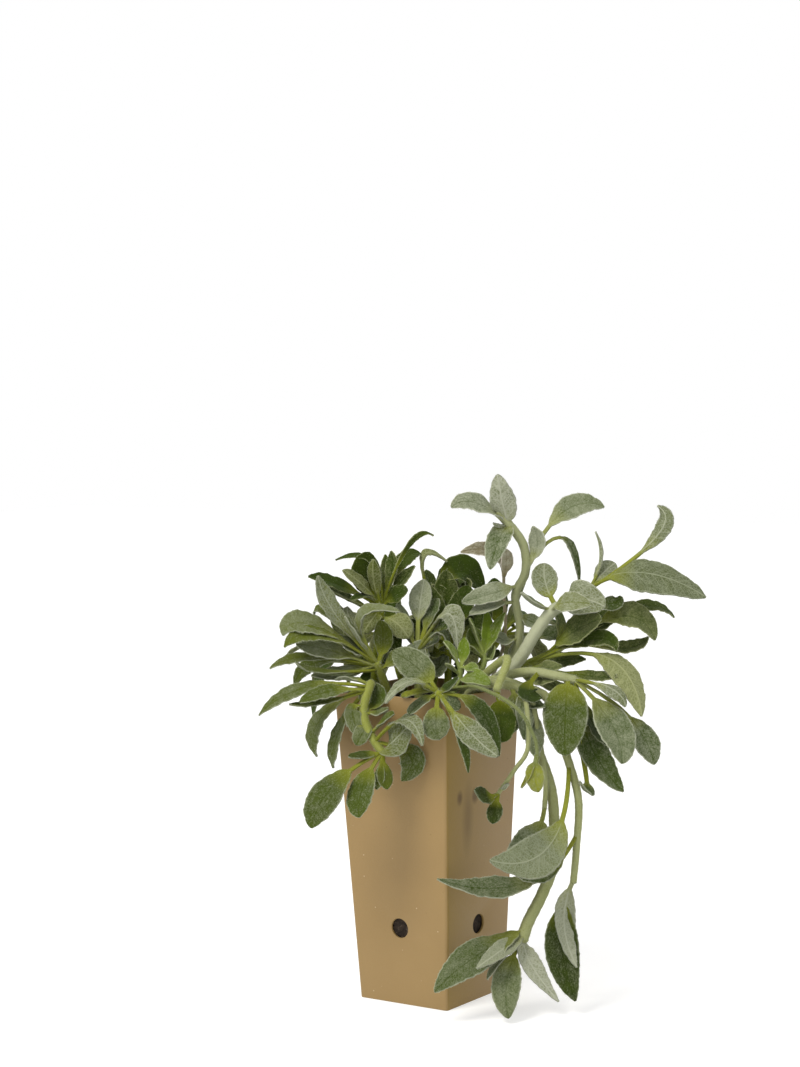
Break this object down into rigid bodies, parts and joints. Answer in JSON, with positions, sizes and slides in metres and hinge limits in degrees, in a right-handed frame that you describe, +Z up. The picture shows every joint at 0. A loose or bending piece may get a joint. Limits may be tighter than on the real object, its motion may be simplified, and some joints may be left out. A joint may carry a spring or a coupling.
{
  "type": "potted lamb's ear plant",
  "caption": "Lamb's ear plant, felted silver-green leaves on sprawling stems, growing in and trailing over a tall square tapered pot.",
  "frame": {"origin": "centre of the pot's underside, on the surface that the pot stands on", "axes": "+Z up; the pot's four sides face along X and Y; the plant's trailing stems hang over the +X side"},
  "size_m": [0.2618, 0.2253, 0.3492],
  "materials": {
    "pot_plastic": "satin",
    "potting_soil": "matte",
    "silver_felted_leaf": "matte",
    "green_felted_leaf": "matte",
    "young_leaf": "matte",
    "yellowed_leaf": "matte",
    "dried_leaf": "matte"
  },
  "bodies": {
    "root": {"pot": "pot_plastic", "soil": "potting_soil", "leafy_stem_left": "silver_felted_leaf", "leafy_stem_left_back": "green_felted_leaf", "leafy_stem_back_centre": "green_felted_leaf", "leafy_stem_centre": "silver_felted_leaf", "leafy_stem_middle": "green_felted_leaf", "young_shoot_front": "young_leaf", "young_shoot_right": "young_leaf", "tall_stem": "silver_felted_leaf", "dried_leaf_stem": "dried_leaf", "leafy_stem_right_upper": "silver_felted_leaf", "leafy_stem_right": "green_felted_leaf", "leafy_stem_right_lower": "silver_felted_leaf", "trailing_stem_left": "silver_felted_leaf", "trailing_stem_right": "silver_felted_leaf", "yellowed_leaf_stem": "yellowed_leaf", "leafy_stem_front": "silver_felted_leaf", "bent_stem": "green_felted_leaf", "leafy_stem_front_left": "silver_felted_leaf", "leafy_stem_back_1": "green_felted_leaf", "leafy_stem_back_2": "green_felted_leaf", "leafy_stem_back_3": "green_felted_leaf", "leafy_stem_back_4": "green_felted_leaf"}
  },
  "joints": []
}
